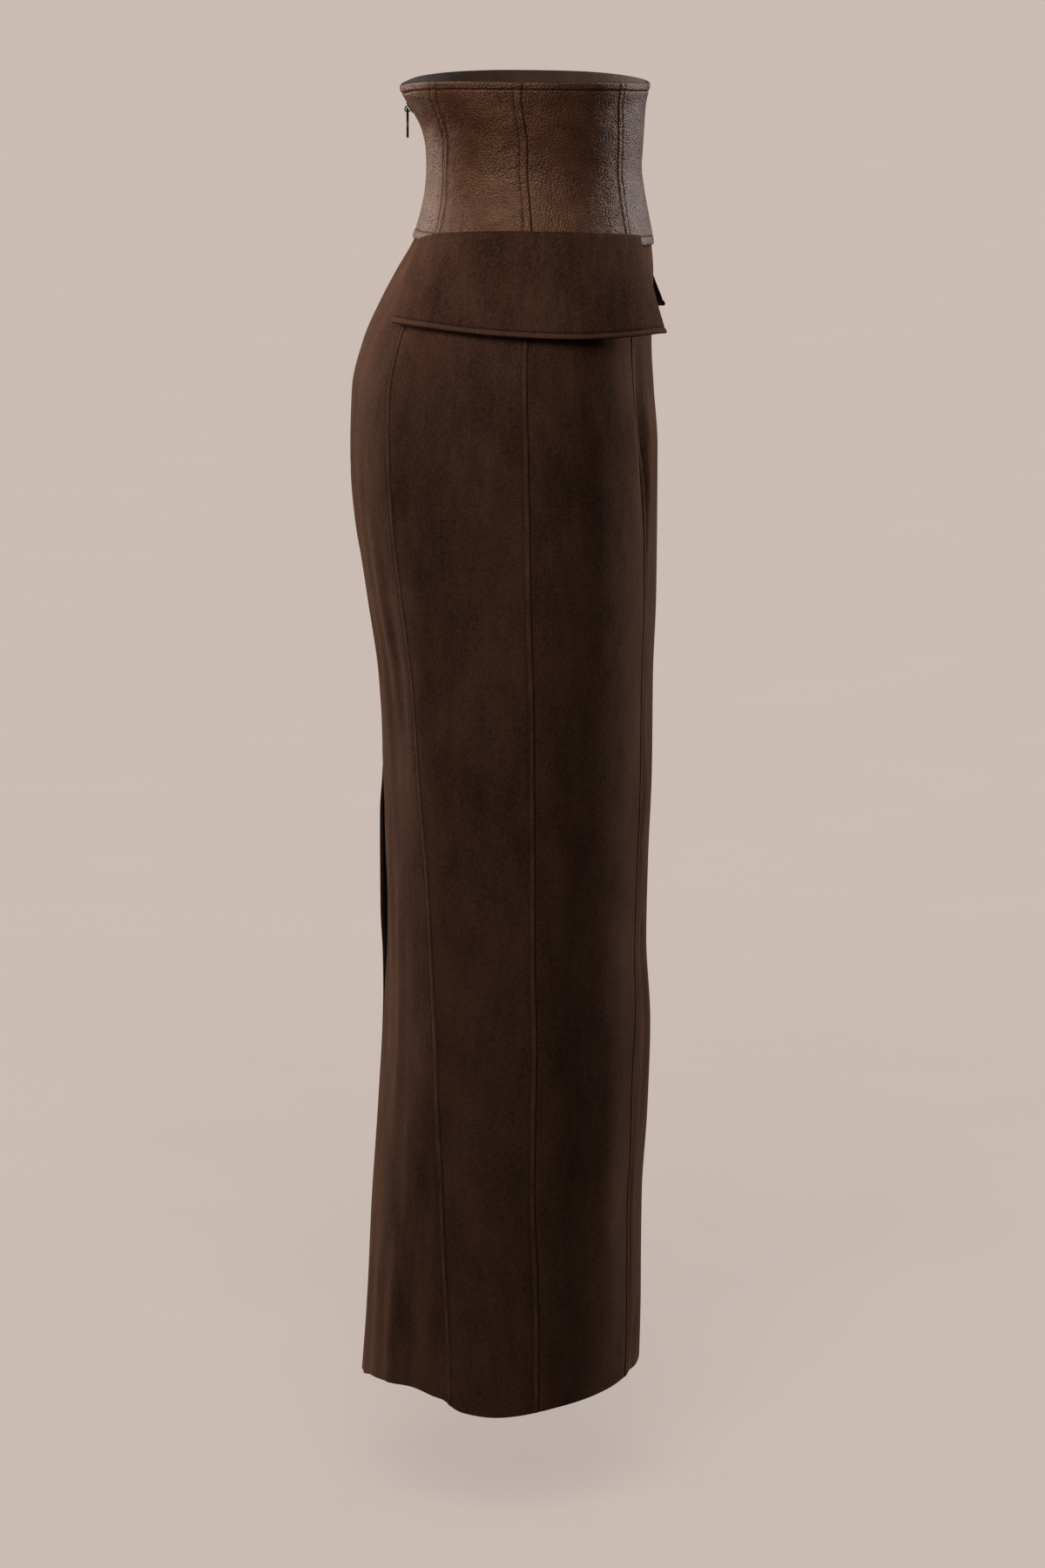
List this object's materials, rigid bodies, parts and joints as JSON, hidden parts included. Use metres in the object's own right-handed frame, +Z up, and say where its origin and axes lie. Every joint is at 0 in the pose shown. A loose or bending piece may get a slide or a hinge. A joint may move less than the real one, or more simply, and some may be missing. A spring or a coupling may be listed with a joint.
{
  "type": "maxi skirt",
  "caption": "High-waisted maxi skirt with a shaped leather waist, suede panels, turned-down hip flaps, centre-back zip and slit, in its worn form.",
  "frame": {"origin": "centre of the narrowest section of the waist, where the wearer holds the skirt up", "axes": "+Z up along the skirt, the front faces -Y, the wearer's right is at -X"},
  "size_m": [0.3714, 0.2749, 1.136],
  "materials": {
    "leather": "brown pebbled grain leather with a soft sheen",
    "suede": "dark brown suede-like cloth with a mottled nap",
    "zip_tape": "woven dark brown tape",
    "zip_metal": "dark bronze metal"
  },
  "bodies": {
    "garment": {"waist_front": "leather", "waist_side_front_right": "leather", "waist_side_front_left": "leather", "waist_side_back_right": "leather", "waist_side_back_left": "leather", "waist_back_right": "leather", "waist_back_left": "leather", "skirt_front": "suede", "skirt_side_front_right": "suede", "skirt_side_front_left": "suede", "skirt_side_back_right": "suede", "skirt_side_back_left": "suede", "skirt_back_right": "suede", "skirt_back_left": "suede", "flap_right": "suede", "flap_left": "suede", "zip_tape_right": "zip_tape", "zip_tape_left": "zip_tape", "zip_chain": "zip_metal", "zip_slider": "zip_metal"},
    "pull": {"zip_pull": "zip_metal"}
  },
  "joints": [
    {"name": "pull_swing", "type": "hinge", "parent": "garment", "child": "pull", "pos_m": [0, 0.10853, 0.04842], "axis": [1, 0, 0], "range_deg": [-22, 140]}
  ]
}
